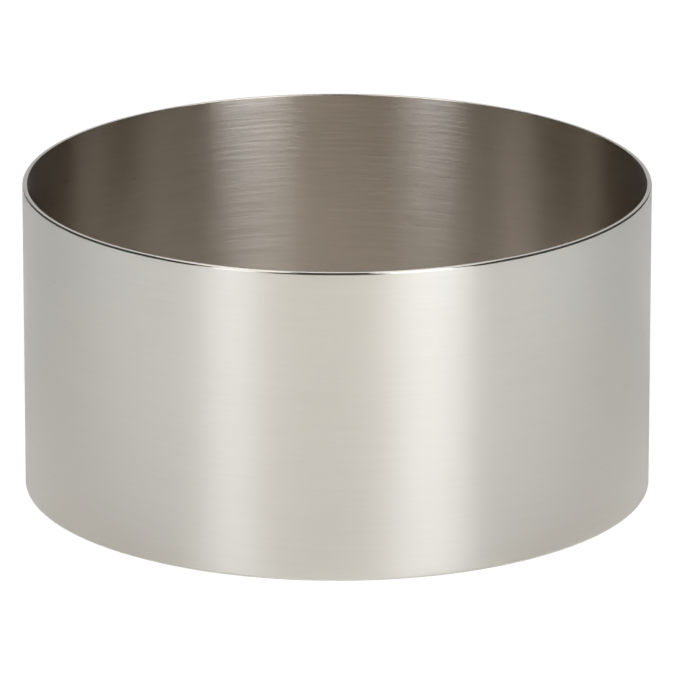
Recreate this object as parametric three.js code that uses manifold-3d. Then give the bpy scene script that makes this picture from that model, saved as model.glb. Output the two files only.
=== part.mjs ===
// Food ring: one strip of stainless steel, rolled into a round band and closed by a butt weld.
// Millimetres, +Z up along the ring's axis. The origin is the centre of the circle that the
// bottom rim stands on. The front faces -Y, and the weld lies on +X.

import * as THREE from "three";
import { mergeVertices } from "three/addons/utils/BufferGeometryUtils.js";
import Module from "manifold-3d";

// Driving dimensions
const OUTSIDE_DIAMETER = 80; // across the outside of the wall
const HEIGHT = 40; // width of the strip, which stands upright as the wall
const WALL = 0.6; // gauge of the strip
const OUTER_EDGE_RADIUS = 0.3; // ground and polished rounding of both rims, on the outside
const INNER_EDGE_RADIUS = 0.1; // broken corner of both rims, on the inside
const WELD_WIDTH = 1.6; // gap between the strip's two ends
const WELD_CROWN = 0.1; // how far the weld's root stands in from the inside of the wall
const DRESSED_LENGTH = 3; // stretch at each rim over which the root is ground down to the wall
const FUSION_CLEARANCE = 0.01; // kept between the weld and each end of the strip

// Facets of the round forms
const RING_SEGMENTS = 144;
const OUTER_EDGE_STEPS = 4;
const INNER_EDGE_STEPS = 2;
const CROWN_STEPS = 6;

// A rounding takes at most this share of the wall, so that a flat land is left on each rim.
const OUTER_EDGE_SHARE = 0.6;
const INNER_EDGE_SHARE = 0.25;

const outerRadius = OUTSIDE_DIAMETER / 2;
const innerRadius = outerRadius - WALL;
const outerEdge = Math.min(OUTER_EDGE_RADIUS, WALL * OUTER_EDGE_SHARE);
const innerEdge = Math.min(INNER_EDGE_RADIUS, WALL * INNER_EDGE_SHARE);
const quarterTurn = Math.PI / 2;

const wasm = await Module();
wasm.setup();

// A closed geometry as a solid that can be cut.
function toSolid(geometry) {
  const bare = geometry.clone();
  bare.deleteAttribute("normal");
  bare.deleteAttribute("uv");
  const merged = mergeVertices(bare);
  const vertProperties = merged.attributes.position.array;
  const triVerts = new Uint32Array(merged.index.array);
  return new wasm.Manifold(new wasm.Mesh({ numProp: 3, vertProperties, triVerts }));
}

// A solid as a geometry that a mesh can show.
function toGeometry(solid) {
  const { vertProperties, triVerts } = solid.getMesh();
  const geometry = new THREE.BufferGeometry();
  geometry.setAttribute("position", new THREE.BufferAttribute(vertProperties, 3));
  geometry.setIndex(new THREE.BufferAttribute(triVerts, 1));
  geometry.computeVertexNormals();
  return geometry;
}

// A quarter of a circle, as points (distance from the axis, height), from a number of quarter turns on.
function corner(across, up, radius, quarters, steps) {
  const start = quarters * quarterTurn;
  const arc = new THREE.EllipseCurve(across, up, radius, radius, start, start + quarterTurn);
  return arc.getPoints(steps);
}

// The wall's section: two rims with rounded corners, and whatever the inside has between them.
function wallSection(insidePoints = []) {
  const outerAcross = outerRadius - outerEdge;
  const innerAcross = innerRadius + innerEdge;
  return [
    ...corner(outerAcross, HEIGHT - outerEdge, outerEdge, 0, OUTER_EDGE_STEPS),
    ...corner(innerAcross, HEIGHT - innerEdge, innerEdge, 1, INNER_EDGE_STEPS),
    ...insidePoints,
    ...corner(innerAcross, innerEdge, innerEdge, 2, INNER_EDGE_STEPS),
    ...corner(outerAcross, outerEdge, outerEdge, 3, OUTER_EDGE_STEPS),
  ];
}

// A section turned once round the ring's axis.
function revolve(section) {
  const closed = [...section, section[0]];
  const geometry = new THREE.LatheGeometry(closed, RING_SEGMENTS);
  return toSolid(geometry.rotateX(quarterTurn));
}

// The gap between the strip's ends, with straight parallel sides, cut right through the wall.
function seamGap() {
  const overrun = WALL;
  const gap = new THREE.BoxGeometry(WALL + 2 * overrun, WELD_WIDTH, HEIGHT + 2 * overrun);
  gap.translate(outerRadius - WALL / 2, 0, HEIGHT / 2);
  return toSolid(gap);
}

// The weld seen from above: straight sides against the strip's ends, and an inside that bulges in
// a flat arc from the wall at both sides to the full crown in the middle.
function weldPlan() {
  const halfWidth = WELD_WIDTH / 2 - FUSION_CLEARANCE;
  const crownX = innerRadius - WELD_CROWN;
  const wallX = Math.sqrt(innerRadius ** 2 - halfWidth ** 2);
  const rise = wallX - crownX;
  const crownRadius = (halfWidth ** 2 + rise ** 2) / (2 * rise);
  const halfAngle = Math.asin(halfWidth / crownRadius);
  const from = Math.PI - halfAngle;
  const to = Math.PI + halfAngle;
  const crown = new THREE.EllipseCurve(
    crownX + crownRadius,
    0,
    crownRadius,
    crownRadius,
    from,
    to,
  );
  const past = outerRadius + WALL;
  const plan = new THREE.Shape(crown.getPoints(CROWN_STEPS));
  plan.lineTo(past, -halfWidth);
  plan.lineTo(past, halfWidth);
  return plan;
}

// The strip, rolled round with its two ends facing each other across the seam.
function rolledBand() {
  return revolve(wallSection()).subtract(seamGap());
}

// The weld is the wall carried on across the gap, with its root standing in from the wall. Near
// both rims the root slopes back to the wall, where it is dressed.
function buttWeld() {
  const depth = 2 * WELD_CROWN;
  const reach = 2 * DRESSED_LENGTH;
  const root = [
    new THREE.Vector2(innerRadius - depth, HEIGHT - reach),
    new THREE.Vector2(innerRadius - depth, reach),
  ];
  const plan = new THREE.ExtrudeGeometry(weldPlan(), { depth: HEIGHT, bevelEnabled: false });
  return revolve(wallSection(root)).intersect(toSolid(plan));
}

const satinSteel = new THREE.MeshStandardMaterial({
  color: 0xc9c6bf,
  roughness: 0.3,
  metalness: 1,
});

const dressedWeld = new THREE.MeshStandardMaterial({
  color: 0xb8b3a9,
  roughness: 0.42,
  metalness: 1,
});

// One named mesh of a solid.
function piece(name, solid, material) {
  const mesh = new THREE.Mesh(toGeometry(solid), material);
  mesh.name = name;
  return mesh;
}

const foodRing = new THREE.Group();
foodRing.name = "food_ring";
foodRing.add(piece("rolled_band", rolledBand(), satinSteel));
foodRing.add(piece("butt_weld", buttWeld(), dressedWeld));

export default foodRing;
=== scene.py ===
# %% [markdown]
# # A food ring in brushed stainless steel
#
# A food ring is one strip of thin stainless steel, rolled round and closed by a butt weld. The
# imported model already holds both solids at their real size. This lesson gives them their looks:
# a fine mesh for each piece, a brushed finish, a pale floor, studio light and a camera.

# %% Load the frame
import math

import bpy
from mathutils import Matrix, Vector


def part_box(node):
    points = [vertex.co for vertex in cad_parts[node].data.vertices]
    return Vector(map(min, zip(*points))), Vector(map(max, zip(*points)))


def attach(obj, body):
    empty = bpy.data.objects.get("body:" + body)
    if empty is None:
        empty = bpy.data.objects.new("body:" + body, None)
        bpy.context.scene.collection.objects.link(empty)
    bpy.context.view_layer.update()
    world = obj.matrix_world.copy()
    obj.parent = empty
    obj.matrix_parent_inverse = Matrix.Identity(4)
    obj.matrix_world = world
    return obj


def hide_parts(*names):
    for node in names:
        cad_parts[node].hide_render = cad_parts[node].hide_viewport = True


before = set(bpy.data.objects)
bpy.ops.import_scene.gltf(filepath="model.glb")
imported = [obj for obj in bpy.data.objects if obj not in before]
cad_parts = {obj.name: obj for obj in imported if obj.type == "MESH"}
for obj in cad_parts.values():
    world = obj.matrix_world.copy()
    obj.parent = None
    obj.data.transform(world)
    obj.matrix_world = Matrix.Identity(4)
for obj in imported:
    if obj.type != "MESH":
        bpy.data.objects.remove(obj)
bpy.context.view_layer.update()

# %% [markdown]
# ## Sizes
#
# The diameter, the height and the weld's width are read from the frame, so the fine meshes always
# lie where the solids are. Only what a box can't show is written here: the gauge of the strip, the
# rounding of its edges and two lengths at the weld. Blender works in metres, so a millimetre has a
# name.

# %% Sizes from the frame
MM = 0.001
band_low, band_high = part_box("rolled_band")
weld_low, weld_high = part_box("butt_weld")

OUTER_RADIUS = band_high.y
HEIGHT = band_high.z - band_low.z
WALL = 0.6 * MM
OUTER_EDGE = 0.3 * MM
INNER_EDGE = 0.1 * MM
WELD_WIDTH = weld_high.y - weld_low.y
WELD_CROWN = weld_high.x - weld_low.x - WALL
FUSION_LINE = 0.01 * MM  # between the weld and each end of the strip
DRESSED_LENGTH = 3 * MM  # stretch at each rim over which the weld's root is ground down
RING_CENTRE = Vector((0, 0, HEIGHT / 2))
print(f"ring {2 * OUTER_RADIUS / MM:.1f} mm across, {HEIGHT / MM:.1f} mm high")
print(f"weld {WELD_WIDTH / MM:.2f} mm wide, crown {WELD_CROWN / MM:.2f} mm")

# %% [markdown]
# ## Camera
#
# The rims show as ellipses, and their shape gives the camera's height and distance. A long lens
# far away fits best: the far rim looks hardly smaller than the near one. The camera aims a little
# under the ring's middle, because the near half looks larger and reaches further down than the far
# half reaches up. So the ring stands in the middle of the picture, as it does in the photograph.

# %% Camera at the photograph's angle
IMAGE_SIDE = 675
FOCAL_PIXELS = 8404
SENSOR_WIDTH = 36
VIEW_ELEVATION = math.radians(17.632)
VIEW_DISTANCE = 1.07417
CLIP_START = 0.05
CLIP_END = 20
AIM = RING_CENTRE + Vector((0.05, 0, -1.0)) * MM


def from_ring(azimuth, elevation, distance):
    """A point round the ring's middle: azimuth 0 is in front, towards -Y, and 90 degrees is at +X."""
    level = math.cos(elevation)
    direction = Vector((math.sin(azimuth) * level, -math.cos(azimuth) * level, math.sin(elevation)))
    return RING_CENTRE + direction * distance


def look_at(thing, target):
    """Turns a camera or a light so that it faces the target."""
    thing.rotation_euler = (target - thing.location).to_track_quat("-Z", "Y").to_euler()


camera_data = bpy.data.cameras.new("Camera")
camera_data.sensor_width = SENSOR_WIDTH
camera_data.lens = FOCAL_PIXELS * SENSOR_WIDTH / IMAGE_SIDE
camera_data.clip_start = CLIP_START
camera_data.clip_end = CLIP_END
camera = bpy.data.objects.new("Camera", camera_data)
camera.location = from_ring(0, VIEW_ELEVATION, VIEW_DISTANCE)
look_at(camera, AIM)
bpy.context.scene.collection.objects.link(camera)
bpy.context.scene.camera = camera
print(f"lens {camera_data.lens:.0f} mm at {VIEW_DISTANCE:.2f} m")

# %% [markdown]
# ## Building node trees
#
# Both meshes and all materials are made with nodes. These helpers keep the lines short. One starts
# a tree with named sockets, one adds a node and fills its sockets, one adds a sum and one a smooth
# step. A value that is another node's socket becomes a link, and anything else becomes the socket's
# own value.

# %% Helpers for node trees
FLOAT = "NodeSocketFloat"
WHOLE = "NodeSocketInt"
SHAPE = "NodeSocketGeometry"
FINISH = "NodeSocketMaterial"


def new_tree(kind, name, inputs, outputs):
    """A node tree with named sockets, and its own input sockets and output sockets."""
    tree = bpy.data.node_groups.new(name, kind)
    for label, socket_type in inputs.items():
        tree.interface.new_socket(label, in_out="INPUT", socket_type=socket_type)
    for label, socket_type in outputs.items():
        tree.interface.new_socket(label, in_out="OUTPUT", socket_type=socket_type)
    given = tree.nodes.new("NodeGroupInput").outputs
    result = tree.nodes.new("NodeGroupOutput").inputs
    return tree, given, result


def add(tree, kind, values=None, **settings):
    """A node with its settings, and with its sockets linked or set."""
    made = tree.nodes.new(kind)
    for name, setting in settings.items():
        setattr(made, name, setting)
    for socket, value in (values or {}).items():
        if isinstance(value, bpy.types.NodeSocket):
            tree.links.new(value, made.inputs[socket])
        else:
            made.inputs[socket].default_value = value
    return made


def maths(tree, operation, *values):
    """The result of one sum on numbers."""
    return add(tree, "ShaderNodeMath", dict(enumerate(values)), operation=operation).outputs[0]


def smooth_step(tree, value, start, end):
    """A value that goes smoothly from 0 at start to 1 at end."""
    values = {"Value": value, "From Min": start, "From Max": end}
    made = add(tree, "ShaderNodeMapRange", values, interpolation_type="SMOOTHSTEP")
    return made.outputs[0]


print("kinds of sockets:", FLOAT, WHOLE, SHAPE, FINISH)

# %% [markdown]
# ## The strip's section
#
# The band is a strip bent along a circle. A cylinder with a Solidify modifier would give a thin wall
# too, but a section that is swept along an arc holds both faces and all four edges in one outline.
# The section is a rectangle, as thick as the gauge and as tall as the ring. Fillet Curve rounds its
# corners, more on the outside than on the inside, because the outside of both rims is polished.
# Subdivide Curve then cuts only the two long sides into rows, so the wall can leave the perfect
# circle a little, as rolled metal does.

# %% Nodes: rounded section in rows
EDGE_POINTS = 8
STRIP_SIZES = {
    "Outside Radius": OUTER_RADIUS,
    "Height": HEIGHT,
    "Wall": WALL,
    "Outer Edge": OUTER_EDGE,
    "Inner Edge": INNER_EDGE,
}
STRIP_INPUTS = {name: FLOAT for name in STRIP_SIZES}
ARC_INPUTS = {"Start Angle": FLOAT, "Sweep Angle": FLOAT, "Steps": WHOLE, "Rows": WHOLE}


def point_place(tree):
    """Where a point of the mesh or curve lies."""
    return add(tree, "GeometryNodeInputPosition").outputs[0]


def rounded_section(tree, given):
    """The strip's section: a tall rectangle with rounded corners."""
    section_values = {"Width": given["Wall"], "Height": given["Height"]}
    section = add(tree, "GeometryNodeCurvePrimitiveQuadrilateral", section_values, mode="RECTANGLE")
    across = add(tree, "ShaderNodeSeparateXYZ", {0: point_place(tree)}).outputs["X"]
    outside = maths(tree, "GREATER_THAN", across, 0.0)
    edge_values = {"Switch": outside, "False": given["Inner Edge"], "True": given["Outer Edge"]}
    edge = add(tree, "GeometryNodeSwitch", edge_values, input_type="FLOAT")
    fillet_values = {"Curve": section.outputs[0], "Count": EDGE_POINTS, "Radius": edge.outputs[0]}
    return add(tree, "GeometryNodeFilletCurve", fillet_values, mode="POLY").outputs[0]


def cut_into_rows(tree, given, section):
    """The section with its two long sides cut into rows."""
    place = point_place(tree)
    following = add(tree, "GeometryNodeOffsetPointInCurve", {"Offset": 1}).outputs["Point Index"]
    next_values = {"Index": following, "Value": place}
    next_place = add(tree, "GeometryNodeFieldAtIndex", next_values, data_type="FLOAT_VECTOR")
    run_values = {0: place, 1: next_place.outputs[0]}
    run = add(tree, "ShaderNodeVectorMath", run_values, operation="DISTANCE").outputs["Value"]
    long_run = maths(tree, "GREATER_THAN", run, given["Wall"])
    row_values = {"Switch": long_run, "False": 0, "True": given["Rows"]}
    rows = add(tree, "GeometryNodeSwitch", row_values, input_type="INT")
    cut_values = {"Curve": section, "Cuts": rows.outputs[0]}
    return add(tree, "GeometryNodeSubdivideCurve", cut_values).outputs[0]


print("section:", WALL / MM, "mm by", round(HEIGHT / MM, 1), "mm, with", EDGE_POINTS, "points on each edge")

# %% [markdown]
# ## The strip on its roll
#
# The arc runs through the middle of the wall. The Z Up mode keeps its normals level, so the section
# stands upright all the way. The weld is the same section on a very short arc, so both pieces share
# this tree.


# %% Node tree: strip on an arc
def middle_radius(tree, given):
    """The radius of the circle through the middle of the wall."""
    half_wall = maths(tree, "MULTIPLY", given["Wall"], 0.5)
    return maths(tree, "SUBTRACT", given["Outside Radius"], half_wall)


def strip_tree():
    """A rounded section swept along part of a circle, standing on the floor."""
    inputs = {**STRIP_INPUTS, **ARC_INPUTS}
    tree, given, result = new_tree("GeometryNodeTree", "Strip on an arc", inputs, {"Strip": SHAPE})
    arc_values = {
        "Resolution": given["Steps"],
        "Radius": middle_radius(tree, given),
        "Start Angle": given["Start Angle"],
        "Sweep Angle": given["Sweep Angle"],
    }
    arc = add(tree, "GeometryNodeCurveArc", arc_values, mode="RADIUS")
    upright = add(tree, "GeometryNodeSetCurveNormal", {"Curve": arc.outputs[0]}, mode="Z_UP")
    section = cut_into_rows(tree, given, rounded_section(tree, given))
    sweep_values = {"Curve": upright.outputs[0], "Profile Curve": section, "Fill Caps": True}
    sweep = add(tree, "GeometryNodeCurveToMesh", sweep_values)
    lift = add(tree, "ShaderNodeCombineXYZ", {"Z": maths(tree, "MULTIPLY", given["Height"], 0.5)})
    stand_values = {"Geometry": sweep.outputs[0], "Translation": lift.outputs[0]}
    standing = add(tree, "GeometryNodeTransform", stand_values)
    tree.links.new(standing.outputs[0], result["Strip"])
    return tree


STRIP = strip_tree()
print("tree:", STRIP.name, "with", len(STRIP.nodes), "nodes")

# %% [markdown]
# ## Rolling errors
#
# A rolled ring is never a perfect circle. Its wall swings in and out by up to two hundredths of a
# millimetre, which no ruler shows, but which bends the edges of the reflections. A Displace modifier
# moves points along their normals, which would make the wall thicker and thinner. So one tree moves
# every point along its radius by soft noise. Both pieces use it, and they still meet at the seam.

# %% Node tree: rolling errors
ROLLING_SIZES = {"Error": 0.02 * MM, "Wavelength": 30 * MM}
ROLLING_INPUTS = {name: FLOAT for name in ROLLING_SIZES}
ROLLING_DETAIL = 1.0


def flat_place(tree):
    """Where a point lies, with its height left out."""
    values = {0: point_place(tree), 1: (1.0, 1.0, 0.0)}
    return add(tree, "ShaderNodeVectorMath", values, operation="MULTIPLY").outputs[0]


def rolling_tree():
    """Moves each point in or out along its radius by a soft noise of its place."""
    inputs = {"Strip": SHAPE, **ROLLING_INPUTS}
    tree, given, result = new_tree("GeometryNodeTree", "Rolling errors", inputs, {"Strip": SHAPE})
    outward_values = {0: flat_place(tree)}
    outward = add(tree, "ShaderNodeVectorMath", outward_values, operation="NORMALIZE").outputs[0]
    scale = maths(tree, "DIVIDE", 1.0, given["Wavelength"])
    noise_values = {"Vector": point_place(tree), "Scale": scale, "Detail": ROLLING_DETAIL}
    noise = add(tree, "ShaderNodeTexNoise", noise_values).outputs[0]
    swing = maths(tree, "MULTIPLY", maths(tree, "SUBTRACT", noise, 0.5), 2.0)
    shift = maths(tree, "MULTIPLY", swing, given["Error"])
    offset = add(tree, "ShaderNodeVectorMath", {0: outward, "Scale": shift}, operation="SCALE")
    move_values = {"Geometry": given["Strip"], "Offset": offset.outputs[0]}
    moved = add(tree, "GeometryNodeSetPosition", move_values)
    tree.links.new(moved.outputs[0], result["Strip"])
    return tree


ROLLING = rolling_tree()
print("tree:", ROLLING.name, "of at most", ROLLING_SIZES["Error"] / MM, "mm")

# %% [markdown]
# ## From a tree to a piece
#
# A tree runs as a modifier on an object. The export needs plain meshes, so the evaluated result is
# copied to a new mesh and the modifier goes with the helper object. Inputs are set by the socket's
# identifier. Edges sharper than the limit stay crisp, and all else is shaded smooth.

# %% Helper: run a tree
SHARP_DEGREES = 50


def grow(name, tree, values):
    """A plain mesh object made by a geometry tree with these input values."""
    seed_mesh = bpy.data.meshes.new(name + "_seed")
    seed = bpy.data.objects.new(name + "_seed", seed_mesh)
    bpy.context.scene.collection.objects.link(seed)
    modifier = seed.modifiers.new(tree.name, "NODES")
    modifier.node_group = tree
    for item in tree.interface.items_tree:
        if item.in_out == "INPUT" and item.name in values:
            modifier[item.identifier] = values[item.name]
    seen = seed.evaluated_get(bpy.context.evaluated_depsgraph_get())
    mesh = bpy.data.meshes.new_from_object(seen)
    mesh.name = name
    bpy.data.objects.remove(seed)
    mesh.shade_smooth()
    mesh.set_sharp_from_angle(angle=math.radians(SHARP_DEGREES))
    piece = bpy.data.objects.new(name, mesh)
    bpy.context.scene.collection.objects.link(piece)
    return piece


def triangles(piece):
    """How many triangles a piece has."""
    return sum(len(face.vertices) - 2 for face in piece.data.polygons)


print("crisp edges: over", SHARP_DEGREES, "degrees")

# %% [markdown]
# ## Brush lines
#
# Four effects make the steel: brush lines, scratches, pits and wipe marks. Each one is a node group
# with named inputs, which all four finishes of this ring share. Brush lines run round the ring,
# because the strip was ground along its length. A Wave texture would draw lines too, but evenly
# spaced ones. Noise that is squeezed in height and drawn out on the level gives lines of uneven
# strength that begin and end, as a grinding belt leaves them.

# %% Brush lines
FINE_CLOSENESS = 3.7  # how many times closer the fine lines lie than the coarse ones
BRUSH_DETAIL = 2.0


def object_place(tree):
    """Where a point lies on the object, in metres."""
    return add(tree, "ShaderNodeTexCoord").outputs["Object"]


def blend(tree, factor, first, second):
    """A number that goes from first to second with the factor."""
    return add(tree, "ShaderNodeMix", {0: factor, 2: first, 3: second}, data_type="FLOAT").outputs[0]


def drawn_noise(tree, level, upright, detail, tilt=(0, 0, 0)):
    """Noise with its own number of waves per metre on the level and upright."""
    stretch = add(tree, "ShaderNodeCombineXYZ", {"X": level, "Y": level, "Z": upright})
    mapping_values = {"Vector": object_place(tree), "Rotation": tilt, "Scale": stretch.outputs[0]}
    mapping = add(tree, "ShaderNodeMapping", mapping_values)
    noise_values = {"Vector": mapping.outputs[0], "Scale": 1.0, "Detail": detail}
    return add(tree, "ShaderNodeTexNoise", noise_values).outputs[0]


def brush_group():
    """Lines that are fine in height and long round the ring."""
    inputs = {"Spacing": FLOAT, "Length": FLOAT, "Fine Share": FLOAT}
    tree, given, result = new_tree("ShaderNodeTree", "Brush lines", inputs, {"Lines": FLOAT})
    along = maths(tree, "DIVIDE", 1.0, given["Length"])
    lines = []
    for closeness in (1.0, FINE_CLOSENESS):
        upright = maths(tree, "DIVIDE", closeness, given["Spacing"])
        lines.append(drawn_noise(tree, along, upright, BRUSH_DETAIL))
    tree.links.new(blend(tree, given["Fine Share"], *lines), result["Lines"])
    return tree


BRUSH = brush_group()
print("group:", BRUSH.name)

# %% [markdown]
# ## Hairline scratches
#
# A few scratches stand out from the grain. They run at a slight tilt, so they cross the brush lines.
# They could be thin curves laid on the wall. The same drawn-out noise, of which only the highest
# peaks are kept, gives such fine lines with no mesh at all.

# %% Hairline scratches
SCRATCH_SIZES = {"Spacing": 0.5 * MM, "Length": 7 * MM, "Rarity": 0.76}
SCRATCH_TILT = (math.radians(1.5), math.radians(-1.0), 0)
SCRATCH_DETAIL = 0.0
SCRATCH_SOFTNESS = 0.06


def scratch_group():
    """Rare lines at a slight tilt, as a mask."""
    inputs = {"Spacing": FLOAT, "Length": FLOAT, "Rarity": FLOAT}
    tree, given, result = new_tree("ShaderNodeTree", "Hairline scratches", inputs, {"Mask": FLOAT})
    along = maths(tree, "DIVIDE", 1.0, given["Length"])
    upright = maths(tree, "DIVIDE", 1.0, given["Spacing"])
    noise = drawn_noise(tree, along, upright, SCRATCH_DETAIL, SCRATCH_TILT)
    end = maths(tree, "ADD", given["Rarity"], SCRATCH_SOFTNESS)
    mask = smooth_step(tree, noise, given["Rarity"], end)
    tree.links.new(mask, result["Mask"])
    return tree


SCRATCH = scratch_group()
print("group:", SCRATCH.name)

# %% [markdown]
# ## Pits
#
# Pits are tiny dark dots where the belt tore a grain out. Peaks of noise would be dots of all sizes.
# A Voronoi texture fills the surface with cells, each with its own point and its own random number.
# Only cells with a high number get a dot round their point, so the dots are rare and much alike.

# %% Pits
PIT_SIZES = {"Cell": 5 * MM, "Dot": 0.16 * MM, "Rarity": 0.82}


def pit_group():
    """Small round dots in a few of the cells that fill the surface, as a mask."""
    inputs = {"Cell": FLOAT, "Dot": FLOAT, "Rarity": FLOAT}
    tree, given, result = new_tree("ShaderNodeTree", "Pits", inputs, {"Mask": FLOAT})
    scale = maths(tree, "DIVIDE", 1.0, given["Cell"])
    cell_values = {"Vector": object_place(tree), "Scale": scale, "Randomness": 1.0}
    cells = add(tree, "ShaderNodeTexVoronoi", cell_values, feature="F1")
    reach = maths(tree, "DIVIDE", given["Dot"], given["Cell"])
    far = smooth_step(tree, cells.outputs["Distance"], 0.0, reach)
    near = maths(tree, "SUBTRACT", 1.0, far)
    lot = add(tree, "ShaderNodeSeparateColor", {0: cells.outputs["Color"]}).outputs[0]
    chosen = maths(tree, "GREATER_THAN", lot, given["Rarity"])
    tree.links.new(maths(tree, "MULTIPLY", near, chosen), result["Mask"])
    return tree


PITS = pit_group()
print("group:", PITS.name)

# %% [markdown]
# ## Wipe marks
#
# A cloth leaves broad soft patches, which are a little duller or lighter than the rest. They are
# noise with large waves, drawn out round the ring. Some distortion bends them, so that they don't
# look like plain clouds.

# %% Wipe marks
WIPE_SIZES = {"Size": 26 * MM}
WIPE_STRETCH = (0.6, 0.6, 1.4)
WIPE_DETAIL = 3.0
WIPE_DISTORTION = 0.6


def wipe_group():
    """Broad soft patches, drawn out round the ring."""
    inputs = {"Size": FLOAT}
    tree, given, result = new_tree("ShaderNodeTree", "Wipe marks", inputs, {"Patches": FLOAT})
    drawn = add(tree, "ShaderNodeMapping", {"Vector": object_place(tree), "Scale": WIPE_STRETCH})
    noise_values = {
        "Vector": drawn.outputs[0],
        "Scale": maths(tree, "DIVIDE", 1.0, given["Size"]),
        "Detail": WIPE_DETAIL,
        "Distortion": WIPE_DISTORTION,
    }
    noise = add(tree, "ShaderNodeTexNoise", noise_values)
    tree.links.new(noise.outputs[0], result["Patches"])
    return tree


WIPE = wipe_group()
print("group:", WIPE.name)

# %% [markdown]
# ## Masks of place
#
# Two finishes depend on where a point lies. The rims are polished on a wheel after the brushing, so
# they are nearly mirrors. Beside the seam, a belt has dressed the weld along its length, so the lines
# there run up and down. Both masks could be painted on the mesh. The object's own coordinates give
# them without painting, and with edges that don't depend on the size of the faces.


# %% Rim polish
def rim_group():
    """1 on both rounded rims, 0 on the wall between them."""
    inputs = {"Height": FLOAT, "Reach": FLOAT, "Fade": FLOAT}
    tree, given, result = new_tree("ShaderNodeTree", "Rim polish and painted shade", inputs, {"Mask": FLOAT})
    up = add(tree, "ShaderNodeSeparateXYZ", {0: object_place(tree)}).outputs["Z"]
    from_top = maths(tree, "SUBTRACT", given["Height"], up)
    to_rim = maths(tree, "MINIMUM", up, from_top)
    end = maths(tree, "ADD", given["Reach"], given["Fade"])
    wall = smooth_step(tree, to_rim, given["Reach"], end)
    tree.links.new(maths(tree, "SUBTRACT", 1.0, wall), result["Mask"])
    return tree


RIM = rim_group()
print("group:", RIM.name)

# %% Seam dressing
SEAM_SIZES = {"Reach": 4 * MM, "Spacing": 0.3 * MM}
SEAM_WAVES_PER_METRE = 120.0  # upright, so a line is about 8 mm long
SEAM_DETAIL = 3.0


def seam_group():
    """1 on the seam at +X, fading out to both sides, and the upright lines that the belt left."""
    inputs = {"Reach": FLOAT, "Spacing": FLOAT}
    outputs = {"Mask": FLOAT, "Lines": FLOAT}
    tree, given, result = new_tree("ShaderNodeTree", "Seam dressing", inputs, outputs)
    split = add(tree, "ShaderNodeSeparateXYZ", {0: object_place(tree)}).outputs
    aside = maths(tree, "ABSOLUTE", split["Y"])
    near = maths(tree, "SUBTRACT", 1.0, smooth_step(tree, aside, 0.0, given["Reach"]))
    right_side = maths(tree, "GREATER_THAN", split["X"], 0.0)
    tree.links.new(maths(tree, "MULTIPLY", near, right_side), result["Mask"])
    across = maths(tree, "DIVIDE", 1.0, given["Spacing"])
    lines = drawn_noise(tree, across, SEAM_WAVES_PER_METRE, SEAM_DETAIL)
    tree.links.new(lines, result["Lines"])
    return tree


SEAM = seam_group()
print("group:", SEAM.name)

# %% [markdown]
# ## Marks on one finish
#
# Each finish places the shared effects in its own material. The brush lines and the polish of the
# rims have that finish's own values, and the other marks are alike all over the ring. Near the seam,
# the lines that run round the ring give way to the upright ones, on each finish by its own share.


# %% Helper: marks
def use(tree, group, values):
    """The outputs of a node group that is placed in a material with its own values."""
    made = tree.nodes.new("ShaderNodeGroup")
    made.node_tree = group
    for name, value in values.items():
        made.inputs[name].default_value = value
    return made.outputs


def marks_of(tree, look):
    """All marks on the steel, by name, with the values of one finish."""
    brush_values = {
        "Spacing": look["spacing"],
        "Length": look["length"],
        "Fine Share": look["fine_share"],
    }
    brush = use(tree, BRUSH, brush_values)["Lines"]
    seam = use(tree, SEAM, SEAM_SIZES)
    dressed = maths(tree, "MULTIPLY", seam["Mask"], look["dressing"])
    rim_values = {"Height": HEIGHT, "Reach": look["rim_reach"], "Fade": look["rim_fade"]}
    return {
        "lines": blend(tree, dressed, brush, seam["Lines"]),
        "scratch": use(tree, SCRATCH, SCRATCH_SIZES)["Mask"],
        "pits": use(tree, PITS, PIT_SIZES)["Mask"],
        "wipe": use(tree, WIPE, WIPE_SIZES)["Patches"],
        "rim": use(tree, RIM, rim_values)["Mask"],
    }


print("groups on each finish:", [group.name for group in (BRUSH, SEAM, SCRATCH, PITS, WIPE, RIM)])

# %% [markdown]
# ## What the marks change
#
# The lines and the wipe marks shift the colour and the roughness a little to both sides. Pits are
# darker, scratches are rougher, and the rims have their own polish. The rims' darker tint is painted
# shade: it stands in for the contact shadow along the bottom rim, and it greys the top rim as well.
# Lines, scratches and pits also cut into the surface, so they give the bump its height. The polished
# rims have none.

# %% Colour, roughness and height of the steel
PIT_SHADE = 0.7
SCRATCH_ROUGHNESS = 0.06


def blend_colour(tree, factor, first, second):
    """A colour that goes from first to second with the factor."""
    return add(tree, "ShaderNodeMix", {0: factor, 6: first, 7: second}, data_type="RGBA").outputs[2]


def to_both_sides(tree, noise, strength):
    """A noise from 0 to 1, moved so that it swings round 0, times a strength."""
    return maths(tree, "MULTIPLY", maths(tree, "SUBTRACT", noise, 0.5), strength)


def steel_colour(tree, look, marks):
    """Two close tints, mixed by wipe marks and lines, with dark pits and painted shade on the rims."""
    ridges = to_both_sides(tree, marks["lines"], look["line_tone"])
    share = maths(tree, "ADD", marks["wipe"], ridges)
    tone = blend_colour(tree, share, look["tint"], look["second_tint"])
    dirty = maths(tree, "MULTIPLY", marks["pits"], PIT_SHADE)
    worn = blend_colour(tree, dirty, tone, look["pit_tint"])
    return blend_colour(tree, marks["rim"], worn, look["rim_painted_shade"])


def steel_roughness(tree, look, marks):
    """The finish's roughness, uneven by lines, wipe marks and scratches, and low on the rims."""
    grain = to_both_sides(tree, marks["lines"], look["grain_roughness"])
    soft = to_both_sides(tree, marks["wipe"], look["wipe_roughness"])
    satin = maths(tree, "ADD", maths(tree, "ADD", look["roughness"], grain), soft)
    scored = maths(tree, "ADD", satin, maths(tree, "MULTIPLY", marks["scratch"], SCRATCH_ROUGHNESS))
    return blend(tree, marks["rim"], scored, look["rim_roughness"])


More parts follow.
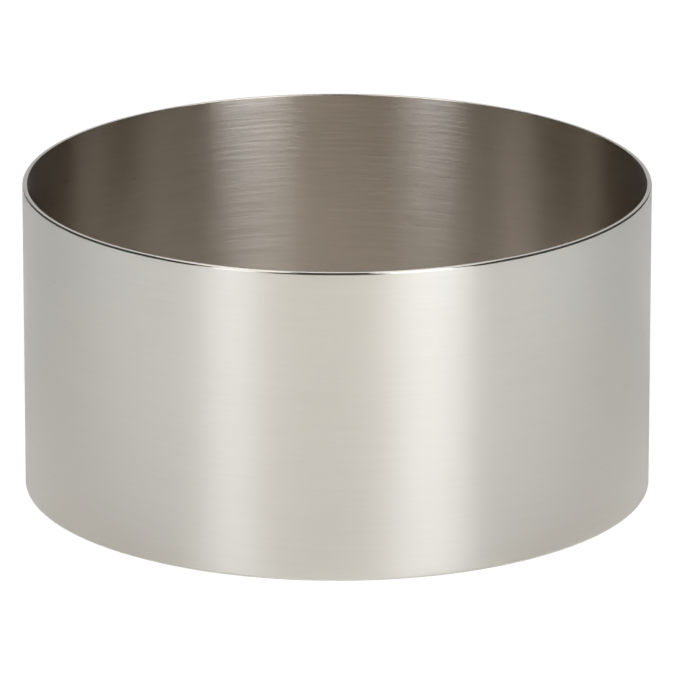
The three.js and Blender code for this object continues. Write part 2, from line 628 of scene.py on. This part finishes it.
def steel_height(tree, look, marks):
    """Lines with scratches and pits cut into them, and nothing on the polished rims."""
    scratched = maths(tree, "MULTIPLY", marks["scratch"], look["scratch_depth"])
    pitted = maths(tree, "MULTIPLY", marks["pits"], look["pit_depth"])
    cut = maths(tree, "SUBTRACT", maths(tree, "SUBTRACT", marks["lines"], scratched), pitted)
    return maths(tree, "MULTIPLY", cut, maths(tree, "SUBTRACT", 1.0, marks["rim"]))


print("a scratch adds", SCRATCH_ROUGHNESS, "to the roughness")

# %% [markdown]
# ## The steel
#
# Stainless steel is a metal with a faint warm tint. Brushing makes it rough across the lines and
# smooth along them, so a lamp's reflection is drawn out up and down the wall and stays narrow round
# the ring. Bump lines alone would need many more samples to do that without speckles. The Principled
# shader does it with its anisotropy: the tangent runs round the ring, and a quarter turn stretches
# the highlight upright.

# %% Steel material
QUARTER_TURN = 0.25


def steel(name, look):
    """Brushed stainless steel, with the values of one finish."""
    material = bpy.data.materials.new(name)
    material.use_nodes = True
    tree = material.node_tree
    shader = tree.nodes["Principled BSDF"].inputs
    marks = marks_of(tree, look)
    height = steel_height(tree, look, marks)
    bump = add(tree, "ShaderNodeBump", {"Strength": 1.0, "Distance": look["relief"], "Height": height})
    tangent = add(tree, "ShaderNodeTangent", direction_type="RADIAL", axis="Z")
    tree.links.new(steel_colour(tree, look, marks), shader["Base Color"])
    tree.links.new(steel_roughness(tree, look, marks), shader["Roughness"])
    tree.links.new(bump.outputs[0], shader["Normal"])
    tree.links.new(tangent.outputs[0], shader["Tangent"])
    shader["Metallic"].default_value = 1.0
    shader["Anisotropic"].default_value = look["anisotropy"]
    shader["Anisotropic Rotation"].default_value = QUARTER_TURN
    print("finish:", name)
    return material


# %% [markdown]
# ## Four finishes
#
# Outside, the band is satin. Inside it is brushed more coarsely, with a warmer and darker tint.
# That tint is partly the coarser brushing and partly painted shade, which darkens the inside of the
# ring. The weld's face is ground along the seam, and its root is left duller.

# %% Finishes
SATIN = {
    "tint": (0.612, 0.59, 0.546, 1),
    "second_tint": (0.636, 0.614, 0.57, 1),
    "pit_tint": (0.2, 0.18, 0.15, 1),
    "spacing": 0.4 * MM,
    "length": 9 * MM,
    "fine_share": 0.4,
    "scratch_depth": 0.5,
    "pit_depth": 2.0,
    "roughness": 0.36,
    "grain_roughness": 0.06,
    "wipe_roughness": 0.04,
    "line_tone": 2.4,
    # Painted shade on both rims: darker than the wall, for the contact shadow along the bottom rim, and it
    # greys the top rim too
    "rim_painted_shade": (0.56, 0.54, 0.5, 1),
    "rim_roughness": 0.09,
    "rim_reach": 0.2 * MM,
    "rim_fade": 0.13 * MM,
    "relief": 0.007 * MM,
    "dressing": 0.6,
    "anisotropy": 0.87,
}
BRUSHED_AND_SHADED = {
    **SATIN,
    # Darker and warmer than outside: partly the coarser brushing, partly painted shade for the inside of
    # the ring
    "tint": (0.6, 0.55, 0.488, 1),
    "second_tint": (0.632, 0.582, 0.52, 1),
    "pit_tint": (0.5, 0.46, 0.41, 1),
    "spacing": 0.5 * MM,
    "length": 8 * MM,
    "fine_share": 0.25,
    "scratch_depth": 0.08,
    "pit_depth": 0.2,
    "line_tone": 3.4,
    "roughness": 0.3,
    "grain_roughness": 0.12,
    "rim_reach": 0.03 * MM,
    "rim_fade": 0.08 * MM,
    "relief": 0.052 * MM,
    "anisotropy": 0.96,
}
GROUND = {**SATIN, "grain_roughness": 0.14, "dressing": 1.0, "anisotropy": 0.4}
ROOT = {**BRUSHED_AND_SHADED, "roughness": 0.4, "relief": 0.012 * MM, "dressing": 0.3, "anisotropy": 0.2}
BAND_OUTSIDE = steel("band_outside", SATIN)
BAND_INSIDE = steel("band_inside", BRUSHED_AND_SHADED)
WELD_FACE = steel("weld_face", GROUND)
WELD_ROOT = steel("weld_root", ROOT)

# %% [markdown]
# ## Rolling and finishing a piece
#
# Both pieces end in the same way: the rolling errors are added, the result is realized, and its
# materials are set. The wall's middle parts the outside finish from the inside one. Normals couldn't
# do that, because the rims and the strip's ends point neither in nor out.

# %% Nodes: roll and finish
FINISH_INPUTS = {"Outside Finish": FINISH, "Inside Finish": FINISH}
PIECE_INPUTS = {**STRIP_INPUTS, **ARC_INPUTS, **ROLLING_INPUTS, **FINISH_INPUTS}


def swept_strip(tree, given):
    """The shared strip tree inside another tree, fed by that tree's inputs."""
    strip = tree.nodes.new("GeometryNodeGroup")
    strip.node_tree = STRIP
    for name in (*STRIP_INPUTS, *ARC_INPUTS):
        tree.links.new(given[name], strip.inputs[name])
    return strip.outputs[0]


def rolled_and_finished(tree, given, result, strip):
    """Adds the rolling errors, realizes the mesh and sets the finish of both sides of the wall."""
    rolled = tree.nodes.new("GeometryNodeGroup")
    rolled.node_tree = ROLLING
    tree.links.new(strip, rolled.inputs["Strip"])
    for name in ROLLING_INPUTS:
        tree.links.new(given[name], rolled.inputs[name])
    real = add(tree, "GeometryNodeRealizeInstances", {0: rolled.outputs[0]})
    outside_values = {"Geometry": real.outputs[0], "Material": given["Outside Finish"]}
    outside = add(tree, "GeometryNodeSetMaterial", outside_values)
    reach_values = {0: flat_place(tree)}
    reach = add(tree, "ShaderNodeVectorMath", reach_values, operation="LENGTH").outputs["Value"]
    within_values = {0: reach, 1: middle_radius(tree, given)}
    within = add(tree, "FunctionNodeCompare", within_values, operation="LESS_THAN")
    inside_values = {
        "Geometry": outside.outputs[0],
        "Selection": within.outputs[0],
        "Material": given["Inside Finish"],
    }
    inside = add(tree, "GeometryNodeSetMaterial", inside_values)
    tree.links.new(inside.outputs[0], result["Piece"])


print("inputs of a piece:", list(PIECE_INPUTS))

# %% [markdown]
# ## The rolled band
#
# The band goes from one side of the seam round to the other, so its arc is a full turn less the
# weld and the fusion line on each side of it.

# %% Rolled band
BAND_STEPS = 600
BAND_ROWS = 36


def band_tree():
    """The strip, rolled nearly all the way round."""
    tree, given, result = new_tree("GeometryNodeTree", "Rolled band", PIECE_INPUTS, {"Piece": SHAPE})
    rolled_and_finished(tree, given, result, swept_strip(tree, given))
    return tree


seam_half_angle = math.asin((WELD_WIDTH / 2 + FUSION_LINE) / OUTER_RADIUS)
band_arc = {
    "Start Angle": seam_half_angle,
    "Sweep Angle": 2 * math.pi - 2 * seam_half_angle,
    "Steps": BAND_STEPS,
    "Rows": BAND_ROWS,
}
band_finishes = {"Outside Finish": BAND_OUTSIDE, "Inside Finish": BAND_INSIDE}
band = grow("band", band_tree(), {**STRIP_SIZES, **band_arc, **ROLLING_SIZES, **band_finishes})
print("band:", triangles(band), "triangles")

# %% [markdown]
# ## The weld's root
#
# Inside, the weld's root stands in from the wall by a tenth of a millimetre, with the ripples that a
# weld leaves as each drop of metal freezes behind the last. Towards both rims the root is ground down
# to the wall. A bump in the material would leave the mesh itself smooth. The ripples repeat by a rule,
# so they are a formula on the points of the inner face.

# %% Nodes: bead with ripples
BEAD_SIZES = {
    "Half Width": WELD_WIDTH / 2,
    "Crown": WELD_CROWN,
    "Dressed Length": DRESSED_LENGTH,
    "Ripple Pitch": 0.8 * MM,
    "Ripple Depth": 0.28,  # from a ripple's mean height to its crest, as a share of the crown
    "Ripple Bend": 0.7,  # how many pitches the ripple's sides are behind its middle
}
BEAD_INPUTS = {name: FLOAT for name in BEAD_SIZES}


def bead_height(tree, given, split):
    """How far the root stands in, as a share of the crown: rippled, and ground down at both ends."""
    aside = maths(tree, "DIVIDE", split["Y"], given["Half Width"])
    aside_squared = maths(tree, "MULTIPLY", aside, aside)
    bulge = maths(tree, "MAXIMUM", maths(tree, "SUBTRACT", 1.0, aside_squared), 0.0)

    bottom = smooth_step(tree, split["Z"], given["Inner Edge"], given["Dressed Length"])
    from_top = maths(tree, "SUBTRACT", given["Height"], split["Z"])
    top = smooth_step(tree, from_top, given["Inner Edge"], given["Dressed Length"])
    ends = maths(tree, "MULTIPLY", bottom, top)

    count = maths(tree, "DIVIDE", split["Z"], given["Ripple Pitch"])
    bent = maths(tree, "MULTIPLY", aside_squared, given["Ripple Bend"])
    phase = maths(tree, "MULTIPLY", maths(tree, "ADD", count, bent), 2 * math.pi)
    wave = maths(tree, "MULTIPLY", maths(tree, "SINE", phase), given["Ripple Depth"])
    swell = maths(tree, "ADD", maths(tree, "SUBTRACT", 1.0, given["Ripple Depth"]), wave)
    return maths(tree, "MULTIPLY", maths(tree, "MULTIPLY", bulge, ends), swell)


print("ripples:", round(HEIGHT / BEAD_SIZES["Ripple Pitch"]), "over the height")

# %% [markdown]
# ## The butt weld
#
# The weld fills the gap. Outside it is ground flush, so it only shows as a change of grain. Inside,
# its points move in by the bead's height.

# %% Butt weld
WELD_STEPS = 22
WELD_ROWS = 420


def weld_tree():
    """The strip across the gap, with a rippled crown on its inner face."""
    inputs = {**PIECE_INPUTS, **BEAD_INPUTS}
    tree, given, result = new_tree("GeometryNodeTree", "Butt weld", inputs, {"Piece": SHAPE})
    split = add(tree, "ShaderNodeSeparateXYZ", {0: point_place(tree)}).outputs
    raised = maths(tree, "MULTIPLY", bead_height(tree, given, split), given["Crown"])
    inward = maths(tree, "MULTIPLY", raised, -1.0)
    offset = add(tree, "ShaderNodeCombineXYZ", {"X": inward})
    inside_values = {0: split["X"], 1: middle_radius(tree, given)}
    inside = add(tree, "FunctionNodeCompare", inside_values, operation="LESS_THAN")
    move_values = {
        "Geometry": swept_strip(tree, given),
        "Selection": inside.outputs[0],
        "Offset": offset.outputs[0],
    }
    crowned = add(tree, "GeometryNodeSetPosition", move_values)
    rolled_and_finished(tree, given, result, crowned.outputs[0])
    return tree


weld_half_angle = math.asin(WELD_WIDTH / 2 / OUTER_RADIUS)
weld_arc = {
    "Start Angle": -weld_half_angle,
    "Sweep Angle": 2 * weld_half_angle,
    "Steps": WELD_STEPS,
    "Rows": WELD_ROWS,
}
weld_finishes = {"Outside Finish": WELD_FACE, "Inside Finish": WELD_ROOT}
weld_values = {**STRIP_SIZES, **weld_arc, **BEAD_SIZES, **ROLLING_SIZES, **weld_finishes}
weld = grow("weld", weld_tree(), weld_values)
print("weld:", triangles(weld), "triangles")

# %% [markdown]
# ## Floor and light
#
# Polished metal shows the room more than itself, so the light is built by looking at the reflections.
# The floor comes first, because most of the wall mirrors it. The camera sees it almost white, as in
# a studio picture, and the ring sees it as plain pale paper.

# %% Floor
FLOOR_SIDE = 6.0
FLOOR_DROP = 0.02 * MM
PAPER = (0.9, 0.9, 0.9, 1)
PAPER_ROUGHNESS = 0.9
WHITE_STRENGTH = 1.05
WHITENING = 0.9


def pale_paper():
    """Matt pale paper, whitened only for the camera."""
    material = bpy.data.materials.new("pale_floor")
    material.use_nodes = True
    tree = material.node_tree
    shader = tree.nodes["Principled BSDF"]
    shader.inputs["Base Color"].default_value = PAPER
    shader.inputs["Roughness"].default_value = PAPER_ROUGHNESS
    shader.inputs["Specular IOR Level"].default_value = 0.0
    white = add(tree, "ShaderNodeEmission", {"Color": (1, 1, 1, 1), "Strength": WHITE_STRENGTH})
    seen = add(tree, "ShaderNodeLightPath").outputs["Is Camera Ray"]
    share = maths(tree, "MULTIPLY", seen, WHITENING)
    mixed = add(tree, "ShaderNodeMixShader", {0: share, 1: shader.outputs[0], 2: white.outputs[0]})
    tree.links.new(mixed.outputs[0], tree.nodes["Material Output"].inputs["Surface"])
    return material


def pale_floor():
    """A large plain sheet that the ring stands on."""
    half = FLOOR_SIDE / 2
    corners = [(-half, -half), (half, -half), (half, half), (-half, half)]
    mesh = bpy.data.meshes.new("floor")
    mesh.from_pydata([(x, y, -FLOOR_DROP) for x, y in corners], [], [(0, 1, 2, 3)])
    mesh.materials.append(pale_paper())
    sheet = bpy.data.objects.new("floor", mesh)
    bpy.context.scene.collection.objects.link(sheet)
    return sheet


floor = pale_floor()
print("floor:", FLOOR_SIDE, "m across")

# %% [markdown]
# ## Kinds of lamps
#
# A softbox is a lamp behind a white cloth. Here it is a flat panel, given by the angles that it fills
# as seen from the ring. Low panels light the floor too. Higher ones would flood it, so they only show
# in the metal. Fill lamps and spot lamps do the opposite: they light the floor, and the metal
# doesn't show them. Angles are in degrees, and azimuth 0 is in front.

# %% Helpers: lamps
PANEL_DISTANCE = 0.7
PANEL_FOOT = -1.5
LOW_TIER_TOP = 30
FILL_SIDE = 0.3
SPOT_AZIMUTH = 180
SPOT_ELEVATION = 60
SPOT_DISTANCE = 0.6
SPOT_BLEND = 0.6
SPOT_RADIUS = 15 * MM


def hang(name, data, azimuth, elevation, distance, target=RING_CENTRE):
    """A lamp round the ring that faces the target, and that the camera doesn't see."""
    lamp = bpy.data.objects.new(name, data)
    lamp.location = from_ring(math.radians(azimuth), math.radians(elevation), distance)
    look_at(lamp, target)
    lamp.visible_camera = False
    bpy.context.scene.collection.objects.link(lamp)
    return lamp


def panel(name, azimuth, spread, low, high, strength, colour, distance=PANEL_DISTANCE):
    """A panel of light that faces the ring, and fills a spread of azimuth between two elevations.

    Its strength is in watts per square metre. Panels above the low tier only show in the metal, so
    that they don't flood the floor.
    """
    middle = (low + high) / 2
    data = bpy.data.lights.new(name, "AREA")
    data.shape = "RECTANGLE"
    data.size = 2 * distance * math.tan(math.radians(spread) / 2) * math.cos(math.radians(middle))
    data.size_y = 2 * distance * math.tan(math.radians(high - low) / 2)
    data.energy = strength * data.size * data.size_y
    data.color = colour
    lamp = hang(name, data, azimuth, middle, distance)
    lamp.visible_diffuse = low < LOW_TIER_TOP


def fill(name, azimuth, elevation, distance, power, colour):
    """A wide lamp that lights the floor and doesn't show in the metal. Its power is in watts."""
    data = bpy.data.lights.new(name, "AREA")
    data.shape = "SQUARE"
    data.size = FILL_SIDE
    data.energy = power
    data.color = colour
    lamp = hang(name, data, azimuth, elevation, distance)
    lamp.visible_glossy = False


def spot(name, target, angle, power, colour):
    """A beam from behind onto one place on the floor, which doesn't show in the metal."""
    data = bpy.data.lights.new(name, "SPOT")
    data.spot_size = math.radians(angle)
    data.spot_blend = SPOT_BLEND
    data.shadow_soft_size = SPOT_RADIUS
    data.energy = power
    data.color = colour
    lamp = hang(name, data, SPOT_AZIMUTH, SPOT_ELEVATION, SPOT_DISTANCE, target)
    lamp.visible_glossy = False


print("panels stand", PANEL_DISTANCE, "m from the ring's middle")

# %% [markdown]
# ## Panels
#
# Two stacks of softboxes, on the left and on the right, make the two bright bands outside and,
# crossed over, the two inside. Their top panels hang over the ring and draw the white lines on the
# rim. A cooler core stands a little nearer than its softbox, because of two lamps in one plane only
# one would show. A low warm card warms the wall's middle.

# %% Softboxes, cores and card
NEUTRAL = (1.0, 0.97, 0.92)
WHITE = (0.95, 0.965, 1.0)
COOL = (0.7, 0.8, 1.0)
WARM = (1.0, 0.88, 0.72)
CORE_DISTANCE = 0.68
# Name, azimuth, spread, lowest and highest elevation, strength, colour and, for a core, distance
PANELS = (
    ("Right softbox", 33, 31, PANEL_FOOT, LOW_TIER_TOP, 4.5, WHITE),
    ("Right upper softbox", 33, 27, LOW_TIER_TOP, 57, 11.8, WHITE),
    ("Right top softbox", 94, 105, 64, 84, 6.0, NEUTRAL),
    ("Left softbox", -37, 28, PANEL_FOOT, LOW_TIER_TOP, 2.4, NEUTRAL),
    ("Left upper softbox", -39, 23, LOW_TIER_TOP, 55, 4.6, NEUTRAL),
    ("Left top softbox", -94, 105, 62, 82, 6.0, NEUTRAL),
    ("Right core", 35, 18, PANEL_FOOT, LOW_TIER_TOP, 2.4, COOL, CORE_DISTANCE),
    ("Left core", -37, 16, PANEL_FOOT, LOW_TIER_TOP, 4.0, COOL, CORE_DISTANCE),
    ("Front card", -2, 40, PANEL_FOOT, 5, 3.4, WARM),
)
for row in PANELS:
    panel(*row)
print("panels:", [row[0] for row in PANELS])

# %% [markdown]
# ## Light on the floor
#
# Three fill lamps light the floor in front and on both sides, and the outside wall mirrors it. Two
# spot lamps shine in from behind, over the far rim, so that the floor inside the ring isn't black.

# %% Fill lamps and spot lamps
COOL_WHITE = (0.88, 0.945, 1.0)
CREAM = (1.0, 0.92, 0.82)
# Name, azimuth, elevation, distance, power and colour
FILLS = (
    ("Front fill", 0, 38, 0.45, 1.44, CREAM),
    ("Right fill", 75, 20, 0.6, 3.0, COOL_WHITE),
    ("Left fill", -75, 20, 0.6, 3.0, COOL_WHITE),
)
INSIDE_MIDDLE = Vector((0, -18, 0)) * MM
INSIDE_FRONT = Vector((0, -30, 0)) * MM
# Name, target, angle of the beam, power and colour
SPOTS = (
    ("Inside spot", INSIDE_MIDDLE, 6, 5.4, CREAM),
    ("Inside front spot", INSIDE_FRONT, 3.5, 5.0, CREAM),
)
for row in FILLS:
    fill(*row)
for row in SPOTS:
    spot(*row)
print("lamps for the floor:", [row[0] for row in FILLS + SPOTS])

# %% [markdown]
# ## Room
#
# Where no lamp shows in the metal, the room does. It is dim, which draws the thin dark line under the
# rim. A pale wall behind the ring lights the flat of the rim. A whole model of a studio would be
# mirrored too, but the ring needs only these few tones. So the room is painted by direction, with
# parts of a length of 1: X aside, Y behind and Z up. The Standard view shows the tones as they are.

# %% Room
DIM = (0.08, 0.076, 0.068, 1)
PALE = (0.62, 0.62, 0.62, 1)
LIT = (1.9, 1.9, 1.9, 1)
# Each edge fades in from the first value to the second
WALL_SIDES = (0.5, 0.34)
WALL_TOP = (0.88, 0.72)
LIT_SIDES = (0.16, 0.06)
LIT_FOOT = (0.3, 0.45)


def room():
    """A dim room with a pale wall behind the ring, brighter higher up in its middle."""
    world = bpy.data.worlds.new("Room")
    world.use_nodes = True
    bpy.context.scene.world = world
    tree = world.node_tree
    direction = add(tree, "ShaderNodeTexCoord").outputs["Generated"]
    split = add(tree, "ShaderNodeSeparateXYZ", {0: direction}).outputs
    aside = maths(tree, "ABSOLUTE", split["X"])
    behind = maths(tree, "GREATER_THAN", split["Y"], 0.0)
    narrow = maths(tree, "MULTIPLY", behind, smooth_step(tree, aside, *WALL_SIDES))
    wall = maths(tree, "MULTIPLY", narrow, smooth_step(tree, split["Z"], *WALL_TOP))
    upper = smooth_step(tree, split["Z"], *LIT_FOOT)
    lit = maths(tree, "MULTIPLY", upper, smooth_step(tree, aside, *LIT_SIDES))
    colour = blend_colour(tree, wall, DIM, blend_colour(tree, lit, PALE, LIT))
    tree.links.new(colour, tree.nodes["Background"].inputs["Color"])


room()
bpy.context.scene.view_settings.view_transform = "Standard"
print("view transform:", bpy.context.scene.view_settings.view_transform)

# %% [markdown]
# ## Joining the looks to the frame
#
# Each piece rides on the one body of this part and stands for its solid.

# %% Ride and replace
for piece, node_name, slot_name in (
    (band, "rolled_band", "band_steel"),
    (weld, "butt_weld", "weld_steel"),
):
    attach(piece, "root")
    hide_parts(node_name)
    print(piece.name, "stands for", node_name)
